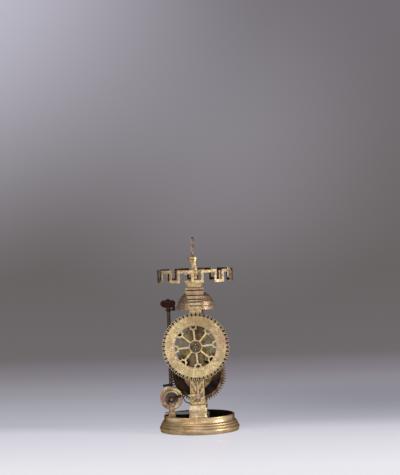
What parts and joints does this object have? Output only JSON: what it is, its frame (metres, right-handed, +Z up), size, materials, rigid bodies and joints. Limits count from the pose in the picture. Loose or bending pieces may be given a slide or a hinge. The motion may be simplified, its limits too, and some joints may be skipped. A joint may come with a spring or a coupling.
{
  "type": "monastic alarm clock",
  "caption": "Small brass and iron verge alarm clock on a moulded foot ring, with a turning pierced dial, bell and castellated balance ring.",
  "frame": {"origin": "centre of the foot ring on the surface it stands on", "axes": "+Z up the clock, -Y towards the viewer of the dial, +X to the viewer's right"},
  "size_m": [0.1, 0.1, 0.2415],
  "materials": {
    "base_brass": "satin, turned",
    "pillar_brass": "aged, brown patina",
    "dial_brass": "pale, engraved",
    "wheel_brass": "aged",
    "bell_metal": "dull bronze",
    "balance_brass": "aged",
    "pivot_brass": "polished",
    "dark_iron": "forged, rusted",
    "steel": "old steel"
  },
  "bodies": {
    "frame": {"base_ring": "base_brass", "cross_plate": "pillar_brass", "side_bar": "pillar_brass", "front_post": "pillar_brass", "rear_post": "pillar_brass", "bridge": "pillar_brass", "top_cock": "pillar_brass", "bell": "bell_metal", "bell_stud": "pillar_brass", "bell_nut": "steel", "crown_potence": "pillar_brass", "verge_footstep": "pillar_brass", "dial_stud": "steel", "dial_hub_disc": "dark_iron", "dial_cross_pin": "steel", "alarm_front_bracket": "pillar_brass", "alarm_potence": "pillar_brass", "hammer_footstep": "pillar_brass", "hammer_cock": "dark_iron", "plate_screws": "steel", "post_screws": "steel", "lever_pivot": "pivot_brass"},
    "great_train": {"great_wheel": "wheel_brass", "great_arbor": "steel", "rope_pulley": "wheel_brass", "great_ratchet": "dark_iron", "click": "dark_iron", "click_screw": "steel", "motion_pinion": "steel"},
    "second_train": {"second_arbor": "steel", "second_wheel": "wheel_brass"},
    "crown_train": {"crown_arbor": "steel", "crown_wheel": "wheel_brass"},
    "dial_body": {"dial": "dial_brass", "dial_wheel": "wheel_brass", "dial_rivets": "wheel_brass"},
    "pin_body": {"alarm_pin": "pivot_brass"},
    "balance": {"verge_staff": "dark_iron", "balance_ring": "balance_brass", "balance_bar": "balance_brass", "balance_hub": "balance_brass", "finial": "balance_brass", "hanging_loop": "balance_brass"},
    "alarm_train": {"alarm_arbor": "steel", "alarm_pulley": "wheel_brass", "alarm_crown_wheel": "wheel_brass", "stop_arm": "dark_iron"},
    "hammer": {"hammer_staff": "dark_iron", "hammer_tail": "dark_iron", "hammer_arm": "dark_iron", "hammer_head": "dark_iron"},
    "lever_body": {"release_lever": "dark_iron", "detent_hook": "dark_iron"}
  },
  "joints": [
    {"name": "great_spin", "type": "hinge", "parent": "frame", "child": "great_train", "pos_m": [0, 0.00925, 0.069], "axis": [0, -1, 0], "continuous": true},
    {"name": "second_spin", "type": "hinge", "parent": "frame", "child": "second_train", "pos_m": [0, 0.00925, 0.107], "axis": [0, -1, 0], "continuous": true},
    {"name": "crown_spin", "type": "hinge", "parent": "frame", "child": "crown_train", "pos_m": [0, -0.0115, 0.1322], "axis": [0, -1, 0], "continuous": true},
    {"name": "dial_spin", "type": "hinge", "parent": "frame", "child": "dial_body", "pos_m": [0, -0.0335, 0.107], "axis": [0, -1, 0], "continuous": true},
    {"name": "balance_swing", "type": "hinge", "parent": "frame", "child": "balance", "pos_m": [0, 0.0015, 0.2], "axis": [0, 0, 1], "range_deg": [-45, 45]},
    {"name": "alarm_spin", "type": "hinge", "parent": "frame", "child": "alarm_train", "pos_m": [-0.03333, -0.013, 0.0424], "axis": [0.0872, -0.9962, 0], "continuous": true},
    {"name": "hammer_swing", "type": "hinge", "parent": "frame", "child": "hammer", "pos_m": [-0.0346, 0.0015, 0.1], "axis": [0, 0, 1], "range_deg": [-14, 16]},
    {"name": "lever_tilt", "type": "hinge", "parent": "frame", "child": "lever_body", "pos_m": [0.0012, -0.0296, 0.0455], "axis": [0, 1, 0], "range_deg": [0, 8]},
    {"name": "pin_pull", "type": "slide", "parent": "dial_body", "child": "pin_body", "axis": [0, -1, 0], "range_m": [0, 0.006]}
  ],
  "couplings": [
    {"joint": "second_spin", "follows": "great_spin", "ratio": -8},
    {"joint": "crown_spin", "follows": "great_spin", "ratio": 48},
    {"joint": "dial_spin", "follows": "great_spin", "ratio": -0.16667}
  ]
}
